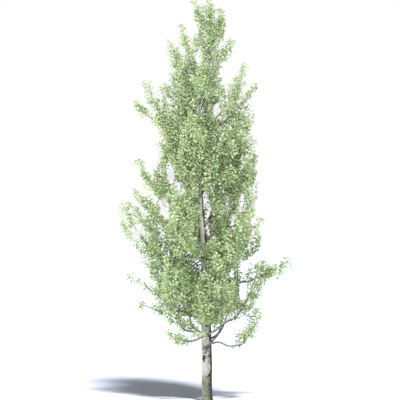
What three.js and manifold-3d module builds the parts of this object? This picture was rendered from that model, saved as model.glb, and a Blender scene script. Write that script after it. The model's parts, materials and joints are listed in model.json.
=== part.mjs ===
// A young poplar in leaf: one upright trunk, bare lower boughs, and a narrow crown of ascending masses of
// foliage round the leader. Millimetres, +Z up, +X to the right of the tree's front, which faces -Y. The
// origin is the centre of the flat cut under the trunk, at ground level.
import * as THREE from "three";
import { mergeVertices } from "three/addons/utils/BufferGeometryUtils.js";
import Module from "manifold-3d";

const wasm = await Module();
wasm.setup();

// ---- Driving dimensions ----
const TREE_HEIGHT = 14000; // ground to the highest leaf
const LEADER_TOP = 13500; // where the trunk thins out inside the spire
const BUTT_RADIUS = 182; // the trunk's radius at the ground, without the root flare
const TIP_RADIUS = 8;
const TAPER_POWER = 1.05; // near 1: an almost straight taper
const SWELL_REACH = 22; // how much stouter than its taper the bare trunk is below its first boughs
const SWELL_HEIGHT = 2100; // where it is stoutest
const SWELL_SPREAD = 1300; // the height over which the swelling dies away
const FLARE_REACH = 38; // how far the root flare stands out at the ground
const FLARE_HEIGHT = 130; // the height over which the flare dies away
const FLARE_LOBES = 5;
const FLARE_LOBE_SHARE = 0.45;
const LIMB_GAP = 0.3; // clearance between a limb and what it grows from
const MASS_GAP = 3; // clearance between a mass and its neighbours
const TRUNK_SIDES = 12;
const TRUNK_RINGS = 20;
const LIMB_SIDES = 6;
const LIMB_RINGS = 8;
const MASS_SIDES = 8;
const MASS_RINGS = 6;
const MASS_START = 0.12; // share of its own bough that is bare before a mass begins
const MASS_TAPER = 0.22; // how much narrower than its girth a mass is towards its tip

const BARK = { color: 0xa7aa9c, roughness: 0.85, metalness: 0 };
const BRANCH_BARK = { color: 0x83877f, roughness: 0.8, metalness: 0 };
const LEAF = { color: 0x8db067, roughness: 0.6, metalness: 0 };

// ---- Trunk ----
// The leader sways to the left up to its upper fork and comes back over the foot.
const TRUNK_COURSE = new THREE.CatmullRomCurve3([
  new THREE.Vector3(0, 0, 0),
  new THREE.Vector3(-13, 15, 2000),
  new THREE.Vector3(-60, 45, 3900),
  new THREE.Vector3(-145, -10, 5700),
  new THREE.Vector3(-245, 20, 7400),
  new THREE.Vector3(-300, 45, 9800),
  new THREE.Vector3(-190, 0, 10650),
  new THREE.Vector3(80, -45, 11300),
  new THREE.Vector3(215, 10, 12300),
  new THREE.Vector3(90, 25, LEADER_TOP),
]);

// The trunk's centre at a height, found by halving, because height only rises along the course.
function trunkCentre(height) {
  let low = 0;
  let high = 1;
  while (high - low > 1e-7) {
    const middle = (low + high) / 2;
    if (TRUNK_COURSE.getPoint(middle).z < height) low = middle;
    else high = middle;
  }
  return TRUNK_COURSE.getPoint(low).setZ(height);
}

function trunkRadius(height, angle) {
  const taper = Math.pow(Math.max(0, 1 - height / LEADER_TOP), TAPER_POWER);
  const lobes = 1 + FLARE_LOBE_SHARE * Math.cos(FLARE_LOBES * angle + 0.6);
  const flare = FLARE_REACH * Math.exp(-height / FLARE_HEIGHT) * lobes;
  const swell = SWELL_REACH * Math.exp(-(((height - SWELL_HEIGHT) / SWELL_SPREAD) ** 2));
  return TIP_RADIUS + (BUTT_RADIUS - TIP_RADIUS) * taper + flare + swell;
}

// Ring heights crowd towards the ground, where the flare needs them.
const ringHeight = (share) => LEADER_TOP * (0.12 * share + 0.88 * share * share);

function trunkGeometry(grow = 0) {
  const geometry = new THREE.CylinderGeometry(1, 1, 1, TRUNK_SIDES, TRUNK_RINGS);
  return bend(geometry, (x, along, z) => {
    const height = ringHeight(along + 0.5);
    const angle = Math.atan2(-z, x);
    const radius = Math.hypot(x, z) * (trunkRadius(height, angle) + grow);
    const outward = new THREE.Vector3(radius * Math.cos(angle), radius * Math.sin(angle), 0);
    return trunkCentre(height).add(outward);
  });
}

// ---- Boughs ----
// Each bare bough runs through a few points from inside the trunk, or another bough, into its foliage.
const BOUGHS = {
  low_right_bough: {
    course: [[45, -45, 2050], [400, -100, 2085], [700, -170, 1985], [930, -200, 1945], [1180, -210, 2060]],
    butt: 42, tip: 28,
  },
  right_strut_bough: {
    course: [[30, 20, 1990], [250, 80, 2170], [450, 190, 2440], [640, 330, 2800], [740, 480, 3300]],
    butt: 37, tip: 26,
  },
  long_right_bough: {
    course: [[-20, -70, 2340], [245, -175, 2470], [650, -245, 2780], [1020, -270, 2990], [1460, -280, 3480]],
    butt: 44, tip: 26,
  },
  right_riser_bough: {
    course: [[930, -265, 2945], [1070, -230, 3200], [1110, -150, 3500], [1075, -50, 4150], [1050, 0, 4950]],
    butt: 28, tip: 22,
  },
  inner_riser_bough: {
    course: [[500, 130, 3960], [900, 190, 4150], [985, 170, 4450], [960, 120, 4950], [930, 60, 5400]],
    butt: 24, tip: 18,
  },
  level_right_bough: {
    course: [[-70, 70, 3700], [290, 140, 4010], [760, 175, 4105], [1140, 175, 4145], [1620, 140, 4260]],
    butt: 46, tip: 28,
  },
  front_left_bough: {
    course: [[80, -35, 2400], [35, -220, 2350], [-185, -380, 2280], [-385, -490, 2190], [-640, -580, 2070]],
    butt: 42, tip: 28,
  },
  left_riser_bough: {
    course: [[-35, 0, 2320], [-390, 35, 2450], [-700, 35, 2480], [-920, 10, 2680], [-1000, 0, 3150]],
    butt: 38, tip: 24,
  },
  left_level_bough: {
    course: [[-35, 50, 2640], [-470, 140, 2980], [-1050, 190, 3240], [-1450, 175, 3200], [-1800, 150, 3180]],
    butt: 40, tip: 20,
  },
  fork_right_bough: {
    course: [[-150, 0, 6080], [60, -70, 6400], [270, -110, 6650], [480, -120, 7000], [640, -100, 7500]],
    butt: 46, tip: 34,
  },
  back_left_bough: {
    course: [[-25, 35, 2250], [-230, 350, 2420], [-480, 720, 2580], [-720, 1040, 3250]],
    butt: 42, tip: 28,
  },
  back_right_bough: {
    course: [[35, 45, 2150], [250, 380, 2260], [450, 720, 2480], [580, 950, 3300]],
    butt: 42, tip: 28,
  },
};

// ---- Masses of foliage ----
// A mass sheathes one ascending bough. The bough leaves the trunk at height root, or starts at the point
// from, and its tip is reach from the tree's axis, bearing degrees round from +X towards +Y, at height tip.
// girth is the mass's widest radius, and start is the bare share of the bough, where it isn't MASS_START.
// Masses named earlier keep their shape, and later ones are cut round them.
const MASSES = {
  spire: { root: 11500, bearing: 350, reach: 90, tip: TREE_HEIGHT, girth: 420 },
  spire_right: { from: [200, -20, 12100], bearing: 350, reach: 500, tip: 13660, girth: 260, start: 0 },
  spire_tuft: { from: [60, 40, 12300], bearing: 172, reach: 430, tip: 13980, girth: 240, start: 0 },
  slender_right: { root: 11100, bearing: 8, reach: 820, tip: 12620, girth: 150, start: 0.3 },
  spire_left: { root: 10700, bearing: 170, reach: 880, tip: 13150, girth: 250, start: 0.3 },
  left_crest: { root: 10300, bearing: 186, reach: 1330, tip: 12680, girth: 270, start: 0.35 },
  left_shoulder: { root: 9500, bearing: 178, reach: 1050, tip: 12150, girth: 560 },
  right_peak: { root: 9000, bearing: 352, reach: 1350, tip: 11720, girth: 330, start: 0.3 },
  right_thin_peak: { root: 8900, bearing: 14, reach: 1680, tip: 11050, girth: 190, start: 0.4 },
  left_plume: { from: [-1300, -120, 9450], bearing: 184, reach: 2530, tip: 10470, girth: 150, start: 0.3 },
  left_peak: { root: 7900, bearing: 172, reach: 2130, tip: 11150, girth: 310, start: 0.3 },
  left_upper: { root: 7500, bearing: 181, reach: 1620, tip: 10900, girth: 520 },
  left_high: { root: 5900, bearing: 186, reach: 2480, tip: 8420, girth: 300, start: 0.3 },
  left_horn: { root: 5300, bearing: 170, reach: 2640, tip: 7500, girth: 280, start: 0.3 },
  left_spread: { root: 3500, bearing: 183, reach: 3020, tip: 6880, girth: 450, start: 0.25 },
  left_fork: { root: 4900, bearing: 178, reach: 1620, tip: 9000, girth: 640 },
  left_waist: { root: 3000, bearing: 176, reach: 2100, tip: 6300, girth: 760 },
  left_low: { root: 2850, bearing: 172, reach: 2690, tip: 4440, girth: 270, start: 0.25 },
  left_level: { from: [-1500, 170, 3190], bearing: 176, reach: 2380, tip: 3440, girth: 140, start: 0 },
  low_left: { from: [-400, -505, 2060], bearing: 203, reach: 1570, tip: 2450, girth: 260, start: 0 },
  far_right: { from: [1500, 130, 4340], bearing: 2, reach: 2960, tip: 4990, girth: 340, start: 0 },
  right_column: { from: [1080, -275, 3010], bearing: 353, reach: 1850, tip: 4800, girth: 270, start: 0 },
  low_right: { from: [1020, -205, 1980], bearing: 353, reach: 1840, tip: 2980, girth: 210, start: 0 },
  right_upper: { root: 7600, bearing: 4, reach: 1500, tip: 10350, girth: 560 },
  right_shoulder: { root: 6300, bearing: 356, reach: 1650, tip: 9200, girth: 620 },
  right_middle: { root: 5100, bearing: 6, reach: 1620, tip: 8000, girth: 580 },
  right_waist: { from: [830, 40, 4850], bearing: 354, reach: 1850, tip: 6400, girth: 430, start: 0 },
  front_top: { root: 9300, bearing: 262, reach: 700, tip: 12000, girth: 520 },
  front_high: { root: 7200, bearing: 245, reach: 1250, tip: 10000, girth: 640 },
  front_high_right: { root: 6900, bearing: 305, reach: 1350, tip: 9500, girth: 600 },
  front_left: { root: 4500, bearing: 229, reach: 1850, tip: 7800, girth: 690 },
  front_right: { root: 3900, bearing: 318, reach: 1850, tip: 7200, girth: 540 },
  front_low: { root: 2380, bearing: 283, reach: 1600, tip: 5150, girth: 640 },
  front_low_left: { root: 2420, bearing: 222, reach: 1850, tip: 5100, girth: 640 },
  back_top: { root: 9100, bearing: 80, reach: 850, tip: 12100, girth: 560 },
  back_high_left: { root: 7100, bearing: 125, reach: 1650, tip: 10300, girth: 680 },
  back_high_right: { root: 6900, bearing: 55, reach: 1600, tip: 10000, girth: 660 },
  back_left: { root: 4500, bearing: 135, reach: 2200, tip: 8000, girth: 720 },
  back_right: { root: 4400, bearing: 48, reach: 1950, tip: 7800, girth: 680 },
  back_low_left: { root: 2700, bearing: 125, reach: 2100, tip: 5400, girth: 700 },
  back_low_right: { root: 2650, bearing: 58, reach: 1900, tip: 5200, girth: 640 },
};

// ---- Shape tools ----
// Moves every vertex of a closed geometry to place(x, y, z), and merges the vertices that coincide.
function bend(geometry, place) {
  const points = geometry.getAttribute("position");
  for (let i = 0; i < points.count; i++) {
    const moved = place(points.getX(i), points.getY(i), points.getZ(i));
    points.setXYZ(i, moved.x, moved.y, moved.z);
  }
  geometry.deleteAttribute("normal");
  geometry.deleteAttribute("uv");
  return mergeVertices(geometry, 1e-3);
}

// A point beside a course, u along its level side and w across it. The side stays level, so that the
// section doesn't twist along the course.
function beside(course, share, side, u, w) {
  const tangent = course.getTangent(share);
  const level = side.clone().addScaledVector(tangent, -side.dot(tangent)).normalize();
  const across = new THREE.Vector3().crossVectors(level, tangent);
  return course.getPoint(share).addScaledVector(level, u).addScaledVector(across, w);
}

function levelSide(start, end) {
  const heading = new THREE.Vector2(end.x - start.x, end.y - start.y).normalize();
  return new THREE.Vector3(-heading.y, heading.x, 0);
}

// A limb is a closed cylinder bent along its course, with a straight taper from butt to tip.
function limbGeometry({ course, butt, tip }, grow = 0) {
  const curve = new THREE.CatmullRomCurve3(course.map((point) => new THREE.Vector3(...point)));
  const side = levelSide(curve.getPoint(0), curve.getPoint(1));
  const cylinder = new THREE.CylinderGeometry(1, 1, 1, LIMB_SIDES, LIMB_RINGS);
  return bend(cylinder, (x, along, z) => {
    const share = along + 0.5;
    const radius = butt + (tip - butt) * share + grow;
    return beside(curve, share, side, x * radius, z * radius);
  });
}

// The bough inside a mass first spreads outwards, then turns up towards the light.
function massSpine({ root, from, bearing, reach, tip }) {
  const start = from ? new THREE.Vector3(...from) : trunkCentre(root);
  const angle = THREE.MathUtils.degToRad(bearing);
  const end = new THREE.Vector3(reach * Math.cos(angle), reach * Math.sin(angle), tip);
  const spread = 0.16 * Math.hypot(end.x - start.x, end.y - start.y);
  const control = start.clone().lerp(end, 0.45);
  control.x += spread * Math.cos(angle);
  control.y += spread * Math.sin(angle);
  control.z -= 0.07 * (end.z - start.z);
  return new THREE.QuadraticBezierCurve3(start, control, end);
}

// Unevenness of a mass: three slow waves over the unit ball, each mass with its own phase.
function uneven(x, y, z, phase) {
  return (
    0.15 * Math.sin(3.1 * x + 4.3 * y + phase) +
    0.11 * Math.sin(4.9 * z - 3.7 * y + 2.1 * phase) +
    0.09 * Math.sin(6.3 * y + 5.2 * x * z + 3.3 * phase)
  );
}

// A mass is a ball drawn out along its spine: y is the way along the spine, and x and z are its width there,
// fuller below the middle and narrower towards the tip.
function massGeometry(mass, phase, grow = 0) {
  const spine = massSpine(mass);
  const side = levelSide(spine.v0, spine.v2);
  const begin = mass.start ?? MASS_START;
  return bend(new THREE.SphereGeometry(1, MASS_SIDES, MASS_RINGS), (x, y, z) => {
    const share = THREE.MathUtils.clamp(begin + (1 - begin) * (0.5 + 0.5 * y), 0, 1);
    const girth = mass.girth * (1 - MASS_TAPER * y) * (1 + uneven(x, y, z, phase)) + grow;
    const placed = beside(spine, share, side, x * girth, z * girth);
    return placed.addScaledVector(spine.getTangent(share), y * grow);
  });
}

function solidOf(geometry) {
  const mesh = new wasm.Mesh({
    numProp: 3,
    vertProperties: new Float32Array(geometry.getAttribute("position").array),
    triVerts: new Uint32Array(geometry.index.array),
  });
  return new wasm.Manifold(mesh);
}

function geometryOf(solid) {
  const mesh = solid.getMesh();
  const geometry = new THREE.BufferGeometry();
  geometry.setAttribute("position", new THREE.BufferAttribute(new Float32Array(mesh.vertProperties), 3));
  geometry.setIndex(new THREE.BufferAttribute(new Uint32Array(mesh.triVerts), 1));
  return geometry;
}

// A cut can leave crumbs beside the main body, which are dropped.
function largestBody(solid) {
  return solid.decompose().reduce((best, body) => (body.volume() > best.volume() ? body : best));
}

function cutRound(solid, others) {
  return largestBody(others.reduce((left, other) => left.subtract(other), solid));
}

// ---- Assembly ----
const tree = new THREE.Group();

function addNode(name, geometry, finish) {
  const node = new THREE.Mesh(geometry, new THREE.MeshStandardMaterial(finish));
  node.name = name;
  tree.add(node);
}

addNode("trunk", trunkGeometry(), BARK);
const trunkForLimbs = solidOf(trunkGeometry(LIMB_GAP));
const trunkForMasses = solidOf(trunkGeometry(MASS_GAP));

const massRooms = [];
Object.entries(MASSES).forEach(([name, mass], index) => {
  const phase = 1.7 * index + 0.4;
  const shape = cutRound(solidOf(massGeometry(mass, phase)), [trunkForMasses, ...massRooms]);
  massRooms.push(solidOf(massGeometry(mass, phase, MASS_GAP)));
  addNode(name, geometryOf(shape), LEAF);
});

const boughRooms = [];
for (const [name, bough] of Object.entries(BOUGHS)) {
  const shape = cutRound(solidOf(limbGeometry(bough)), [trunkForLimbs, ...boughRooms, ...massRooms]);
  boughRooms.push(solidOf(limbGeometry(bough, LIMB_GAP)));
  addNode(name, geometryOf(shape), BRANCH_BARK);
}

export default tree;
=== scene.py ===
"""Poplar tree: bark, limbs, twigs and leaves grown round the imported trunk, boughs and masses of foliage."""
import functools
import json
import math

import bpy
import numpy as np
from bpy.props import FloatProperty, FloatVectorProperty, IntProperty, PointerProperty
from bpy.types import Operator, Panel, PropertyGroup
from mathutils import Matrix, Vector
from numpy.polynomial import polynomial


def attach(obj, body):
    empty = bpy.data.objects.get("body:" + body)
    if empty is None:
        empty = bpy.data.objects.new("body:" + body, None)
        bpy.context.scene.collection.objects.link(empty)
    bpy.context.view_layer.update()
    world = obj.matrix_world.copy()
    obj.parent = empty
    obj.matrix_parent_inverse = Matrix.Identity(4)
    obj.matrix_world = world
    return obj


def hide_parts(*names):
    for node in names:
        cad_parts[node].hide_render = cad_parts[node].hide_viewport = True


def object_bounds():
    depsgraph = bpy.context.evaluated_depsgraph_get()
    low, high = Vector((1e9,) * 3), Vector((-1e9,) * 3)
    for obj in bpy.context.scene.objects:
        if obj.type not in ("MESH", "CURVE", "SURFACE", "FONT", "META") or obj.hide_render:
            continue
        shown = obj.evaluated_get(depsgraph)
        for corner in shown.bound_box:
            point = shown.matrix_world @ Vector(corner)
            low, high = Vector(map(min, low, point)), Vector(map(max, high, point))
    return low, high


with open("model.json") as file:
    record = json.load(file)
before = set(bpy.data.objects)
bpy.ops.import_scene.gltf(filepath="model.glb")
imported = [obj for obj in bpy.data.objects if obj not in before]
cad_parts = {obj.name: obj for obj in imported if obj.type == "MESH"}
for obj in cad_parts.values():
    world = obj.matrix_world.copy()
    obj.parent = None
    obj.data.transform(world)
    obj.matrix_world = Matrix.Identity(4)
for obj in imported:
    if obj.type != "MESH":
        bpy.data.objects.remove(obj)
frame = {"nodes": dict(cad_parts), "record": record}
CAD_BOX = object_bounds()

bl_info = {
    "name": "Poplar Tree",
    "version": (1, 0, 0),
    "blender": (4, 5, 0),
    "location": "3D View > Sidebar > Poplar",
    "description": "Grows bark, limbs, twigs and leaves round the frame of a poplar tree",
    "category": "Add Mesh",
}

SLOT_OF = {part["node"]: part["material_slot"] for part in frame["record"]["subparts"]}
MASSES = sorted(node for node, slot in SLOT_OF.items() if slot == "foliage")
BOUGHS = sorted(node for node, slot in SLOT_OF.items() if slot == "branch_bark")
UP = np.array([0.0, 0.0, 1.0])
GOLDEN_ANGLE = math.pi * (3 - math.sqrt(5))
BOX_MIDDLE = np.mean(CAD_BOX, axis=0)
BOX_HALF = np.ptp(CAD_BOX, axis=0) / 2
DOME_FACES = (-0.78, -0.55, 0.42)  # towards the bright side of the surrounding light

# Trunk and boughs
FLARE_LOBES = 5
RING_GAP = 0.005  # metres of height that part one of the trunk's rings from the next
TRUNK_SIDES = 112
TRUNK_STEP = 0.022  # metres between the trunk surface's rows
OLIVE_HEIGHT = 0.95
OLIVE_BLEND = (0.17, 0.33)  # how far above OLIVE_HEIGHT the rough bark starts and ends its change to smooth
STEM_HEIGHTS = (3.5, 5.0)  # between these the trunk's bark turns from pale to stem bark
PAINTED_SHADE_SIDE = 1.15  # painted shade: how much greyer the trunk is on its unlit side
PAINTED_SHADE_BEARING = 345  # where that side faces, in degrees from +X
PAINTED_SHADE_NARROW = 3  # the higher, the narrower that painted shade
SHADE_HEIGHTS = np.array([0, 0.95, 1.05, 1.35, 1.5, 2.2, 2.8, 5, 8, 14])
# the shifts at 5 and 8 m make the bark paler: partly its own colour, partly painted light against the crown's
# shade
SHADE_SHIFTS = np.array([-0.3, -0.3, -0.36, -0.34, -0.32, -0.38, -0.26, -0.5, -0.6, -0.4])  # paler below 0
SCARS = (  # the main diamond scars: height, bearing in degrees from +X, size
    (1.60, 236, 2.0), (1.51, 230, 2.2), (1.43, 237, 1.4), (1.73, 262, 1.0), (1.77, 282, 0.8),
    (1.90, 244, 0.6), (1.99, 278, 0.7), (2.08, 254, 0.6), (0.95, 300, 1.9), (0.90, 282, 1.3),
    (0.24, 252, 0.9), (2.52, 268, 1.0),
)
SCAR_COUNT = 110  # smaller scars, drawn at random
SCAR_REACH = (0.3, 9.5)  # the lowest and highest of them
SCAR_SIZES = (0.35, 1.1)
SCAR_HALF = (0.045, 0.032)  # half width and half height of a scar of size 1
COLLAR_HALF = (0.08, 0.055)  # the same of the swollen bark round it
SCAR_DEPTH = 0.022
COLLAR_RISE = 0.009
BARK_ROUGHNESS = 0.85
BARK_GLOSS = 0.12
CRACK_DARKNESS = 0.35  # the colour of the rough bark's cracks, times the olive
TRUNK_GRAIN = 0.004  # depth of the fine grain
LIMB_GRAIN = 0.002
BOUGH_SIDES = 14
BOUGH_STEP = 0.03  # metres between the rings of a bough's surface
BOUGH_SWELL = 1.15  # how much stouter a bough is where it leaves the trunk
BOUGH_THIN = 0.9  # how much thinner it is at its buried end
BOUGH_BURY = 0.05  # how far a bough's surface runs on into the trunk
BOUGH_RUN_ON = 0.10  # how far it runs on into its mass, side by side with the limb there

# Growth
LIMB_STATIONS = 48
BRANCH_STATIONS = 9
SHOOT_STATIONS = 5
SPUR_STATIONS = 3
FEEDER_PROBES = np.array([0.03, 0.07, 0.12])  # how far past a bough's end to look for its mass
LIMB_SEATS = slice(4, -2)  # the stations of a limb that can bear a branch
LIMB_SIDES = 8
LIMB_STEP = 0.06
LIMB_DROP = 0.12  # metres from a mass's low end down to where its own limb leaves the trunk, right beside it
LIMB_SLANT = 0.55  # how many metres lower still for each metre out
LIMB_FOOT = 0.02  # radius of a short mass's own limb at its foot
LIMB_STOUTER = 0.012  # how much stouter for each metre of the mass's length
LIMB_TO_TRUNK = 0.62  # the stoutest a limb may be, as a share of the trunk's radius there
LIMB_TAPER = 0.85
MAIN_FOLLOW = 0.85  # how closely a mass's main limb keeps to the mass's centre line
SIDE_FOLLOW = 0.3  # the same for its other limbs
LIMB_TIP = 0.003  # radius of a limb's tip, like the next ones
BRANCH_TIP = 0.0022
SHOOT_TIP = 0.0014
SPUR_TIP = 0.0012
SPUR_FOOT = 0.0032  # the widest radius of a spur
STRAY_FOOT = 0.014
SPREAD = 0.16  # how far a branch's middle is pushed outwards, as a share of its reach
SAG = 0.10  # how far it is pushed down
FEWEST_BRANCHES = 4
BRANCHES_FOR_VOLUME = 13  # more of them for a mass of one cubic metre
BRANCH_SHORTEST = 0.15
TOO_SHORT = 10  # metres of length that a branch under the shortest length costs on top
BRANCH_WANDER = 0.03  # random bend of a branch, as a share of its reach
SHOOT_WANDER = 0.05
BRANCH_RISE = 0.1  # branches that climb less than this share of their length are left out
CLIMB = 4.0  # how strongly a new branch prefers to climb: 4 leaves its parent some 37 degrees off upright
TIP_MARGIN = 0.09  # how far inside its mass a limb or branch ends, to leave room for leaves
SHOOT_SHORTEST = 0.38  # shoots under this length look for a lower seat
SHOOT_LONGEST = 1.3
SPUR_SHORTEST = 0.09  # mean length of the spurs at their parent's tip
SPUR_LONGER = 0.17  # how much longer they are at its foot
LIMB_SPUR_GAP = 0.38  # the gap between spurs on a limb, as a share of the gap on a branch
BOUGH_SPUR_GAP = 0.6
STRAY_SPUR_GAP = 0.45
SWELL = 1.16  # how far shoots spread past the sides of a wide mass, as a share of their way out
SWELL_GIRTH = 0.33  # metres of mean radius that make a mass wide
LEAFY_BOUGHS = ("front_left_bough", "left_riser_bough")  # leafy almost from the trunk on
TRUNK_SHOOTS = (2.35, 12.9, 0.05)  # the lowest and the highest, and metres of height from one to the next
TRUNK_WINDOWS = ((5.0, 7.3), (9.9, 10.5))  # heights where no shoot hides the front of the trunk
SKY_GAPS = np.array([  # open to the sky from the front: x, z, width, height
    (1.25, 3.84, 0.42, 0.70), (-1.46, 6.74, 0.44, 0.80), (-1.27, 7.92, 0.42, 0.78),
    (0.44, 12.40, 0.22, 0.50), (0.50, 11.60, 0.26, 0.60), (0.32, 10.14, 0.34, 0.65),
    (-0.12, 7.10, 0.20, 0.66), (1.22, 6.95, 0.34, 0.80), (0.92, 6.30, 0.28, 0.60),
    (-0.93, 7.47, 0.36, 0.56), (-2.42, 5.92, 0.56, 0.48), (0.34, 13.44, 0.16, 0.20),
    (-0.87, 12.22, 0.28, 0.40), (1.22, 4.70, 0.22, 0.24), (0.85, 4.45, 0.26, 0.40),
    (-0.30, 10.20, 0.22, 0.40), (1.90, 7.95, 0.44, 0.50), (1.86, 7.35, 0.36, 0.60),
    (1.00, 12.00, 0.40, 0.80), (0.04, 5.95, 0.18, 0.56), (0.72, 6.75, 0.20, 0.62),
    (0.21, 7.62, 0.26, 0.30), (-0.62, 5.18, 0.22, 0.26), (-0.95, 3.35, 0.22, 0.30),
    (-2.06, 9.75, 0.30, 0.50), (-1.46, 12.68, 0.36, 0.56), (-2.10, 11.34, 0.40, 0.36),
    (-2.62, 10.50, 0.30, 0.32), (-2.66, 7.52, 0.36, 0.40), (-2.45, 8.62, 0.44, 0.30),
    (-2.06, 3.34, 0.26, 0.22), (1.42, 10.45, 0.20, 0.36), (1.82, 9.18, 0.32, 0.32),
    (1.46, 2.10, 0.40, 0.40), (2.62, 5.02, 0.34, 0.24),
])
WINDOW_BACK = 0.12  # how far back, along y, the front windows reach
FRONT_WINDOWS = np.array([  # open from the front as far back as the trunk: x, z, width, height
    (-0.17, 6.35, 0.40, 2.30), (-0.17, 10.30, 0.42, 0.70), (0.06, 4.62, 0.16, 0.24), (0.13, 11.6, 0.20, 1.5),
    (0.10, 6.45, 0.42, 0.60),
])
LEAF_ROOM = 0.04  # metres between the frame's box and the outermost foot of a leaf
OPENNESS = 0.16  # how much slow waves through the crown open it up
LOW_OPENNESS = 0.36  # how much more they do so in its lower half
LOW_BLEND = (6.0, 8.5)  # between these heights that fades
CORE_THINNING = 0.5  # share of the shoots that the shade close to the trunk takes away
CORE_BLEND = (0.15, 0.85)  # between these distances from the trunk that fades
CORE_TOP = (9.5, 11.5)  # and between these heights
VALLEY_REACH = 0.42  # metres within which the masses on both sides of a valley lie
VALLEY_BATCHES = 16  # the shoots are seated in batches, to keep the arrays small
VALLEY_CLEAR = 0.06  # metres that their ends keep off the trunk
VALLEY_WIDEST = 1.15  # the farthest from the trunk's centre that they end
STRAYS = np.array([  # leafy limbs that wander out of the masses: foot, middle, tip
    ((-1.20, -0.10, 3.40), (-2.03, -0.20, 4.72), (-2.88, -0.15, 6.20)),
    ((-1.30, 0.20, 3.60), (-1.72, 0.25, 4.25), (-2.02, 0.30, 4.95)),
    ((-1.40, 0.05, 5.60), (-2.15, 0.05, 6.25), (-2.80, 0.10, 6.90)),
    ((-1.20, -0.10, 6.20), (-1.80, -0.10, 6.60), (-2.02, -0.15, 7.10)),
    ((-1.10, 0.20, 5.00), (-1.72, 0.20, 5.70), (-1.95, 0.25, 6.65)),
    ((0.95, -0.25, 2.92), (1.35, -0.22, 3.12), (1.62, -0.15, 3.60)),
    ((1.20, -0.28, 3.15), (1.58, -0.25, 2.98), (1.72, -0.20, 3.25)),
    ((1.46, -0.28, 3.48), (1.76, -0.20, 3.80), (1.84, -0.15, 4.30)),
    ((0.65, -0.24, 2.78), (0.85, -0.24, 3.00), (1.00, -0.22, 3.30)),
    ((0.24, -0.18, 2.47), (0.30, -0.20, 2.70), (0.36, -0.22, 2.95)),
    ((0.95, -0.20, 1.95), (1.10, -0.20, 2.12), (1.24, -0.18, 2.45)),
    ((1.05, -0.20, 1.99), (1.36, -0.18, 2.30), (1.50, -0.15, 2.90)),
    ((1.05, 0.00, 4.75), (1.28, 0.05, 5.00), (1.48, 0.05, 5.12)),
    ((1.14, 0.17, 4.15), (1.40, 0.15, 4.30), (1.58, 0.10, 4.75)),
    ((1.60, 0.12, 4.26), (1.88, 0.02, 4.20), (2.15, -0.05, 4.42)),
    ((1.60, 0.12, 4.26), (1.85, 0.12, 4.55), (1.98, 0.10, 4.90)),
    ((1.70, 0.05, 4.24), (2.34, 0.00, 4.42), (2.87, -0.05, 4.78)),
    ((0.00, 0.00, 12.70), (0.08, 0.05, 13.30), (0.16, 0.05, 13.75)),
    ((0.05, 0.00, 12.60), (-0.12, -0.05, 13.20), (-0.16, -0.05, 13.80)),
    ((0.10, 0.00, 12.50), (0.40, 0.00, 12.95), (0.52, 0.00, 13.45)),
    ((-0.20, 0.00, 11.50), (-0.46, 0.00, 12.10), (-0.42, 0.00, 12.70)),
    ((-0.80, 0.10, 10.00), (-1.20, 0.10, 10.60), (-1.38, 0.10, 11.00)),
    ((-0.35, -0.30, 2.45), (-0.85, -0.30, 2.80), (-1.20, -0.35, 3.15)),
    ((-0.95, 0.00, 2.72), (-1.20, -0.05, 2.82), (-1.42, -0.10, 3.15)),
    ((-0.64, -0.58, 2.07), (-0.96, -0.56, 2.09), (-1.34, -0.60, 2.46)),
])
LEAF_TINTS = (
    # name, weight among the sprays, times the leaf green
    ("leaf_mid", 0.50, (1.00, 1.00, 1.00)),
    ("leaf_light", 0.17, (1.06, 1.04, 1.08)),
    ("leaf_deep", 0.15, (0.66, 0.76, 0.62)),
    ("leaf_yellow", 0.04, (1.06, 1.03, 0.88)),
    ("leaf_blue", 0.10, (0.90, 0.99, 1.08)),
    ("leaf_pale", 0.03, (1.26, 1.20, 1.42)),
    # painted shade: a few sprays of near-black leaves stand in for leaves in shade
    ("leaf_painted_shade", 0.025, (0.30, 0.37, 0.27)),
)
BARE_SHARE = {  # share of each kind of twig, from its foot, that bears no leaves
    "branches": 0.8, "shoots": 0.12, "spurs": 0.15,
    "on_boughs": 0.15, "on_trunk": 0.25, "in_valleys": 0.12, "on_strays": 0.1,
}
LEAF_GLOSS = 0.2
LEAF_SIZE_RANGE = (0.72, 1.18)
LEAF_END_SHRINK = 0.2  # how much smaller leaves are towards a shoot's end

# Stage
FLOOR_COLOUR = (0.062, 0.068, 0.085)
FLOOR_REACH = 30  # half the floor's side, in tree heights
FLOOR_DROP = 0.002  # metres from the foot of the tree down to the floor
KEY_TRAVELS = (0.70, 0.55, -0.46)
KEY_SOFTNESS = 10  # in degrees
GROUND_SUN_TRAVELS = (-0.23, 1.08, -1)
GROUND_SUN_SOFTNESS = 9


# ---- Settings ----
class BarkSettings(PropertyGroup):
    """Colours and relief of the trunk and boughs."""

    pale: FloatVectorProperty(
        name="Pale bark", description="Colour of the smooth bark on the stem",
        subtype="COLOR", default=(0.42, 0.425, 0.41), min=0, max=1)
    # the near-white stem bark is partly the pale bark up in the crown, partly painted light against the
    # crown's shade
    stem: FloatVectorProperty(
        name="Stem bark", description="Colour of the pale bark up in the crown",
        subtype="COLOR", default=(0.86, 0.87, 0.74), min=0, max=1)
    # the grey also gives the painted shade that the shade attribute carries
    grey: FloatVectorProperty(
        name="Grey bark", description="Colour of the darker patches on the pale bark",
        subtype="COLOR", default=(0.054, 0.057, 0.047), min=0, max=1)
    olive: FloatVectorProperty(
        name="Olive bark", description="Colour of the rough bark near the ground",
        subtype="COLOR", default=(0.25, 0.265, 0.20), min=0, max=1)
    scar: FloatVectorProperty(
        name="Scars", description="Colour of the diamond scars and pores",
        subtype="COLOR", default=(0.015, 0.015, 0.012), min=0, max=1)
    limb: FloatVectorProperty(
        name="Limb bark", description="Colour of the boughs' smooth bark",
        subtype="COLOR", default=(0.28, 0.29, 0.27), min=0, max=1)
    relief: FloatProperty(
        name="Relief", description="Depth of the furrows near the ground",
        subtype="DISTANCE", unit="LENGTH", default=0.009, min=0, max=0.05)


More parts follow.
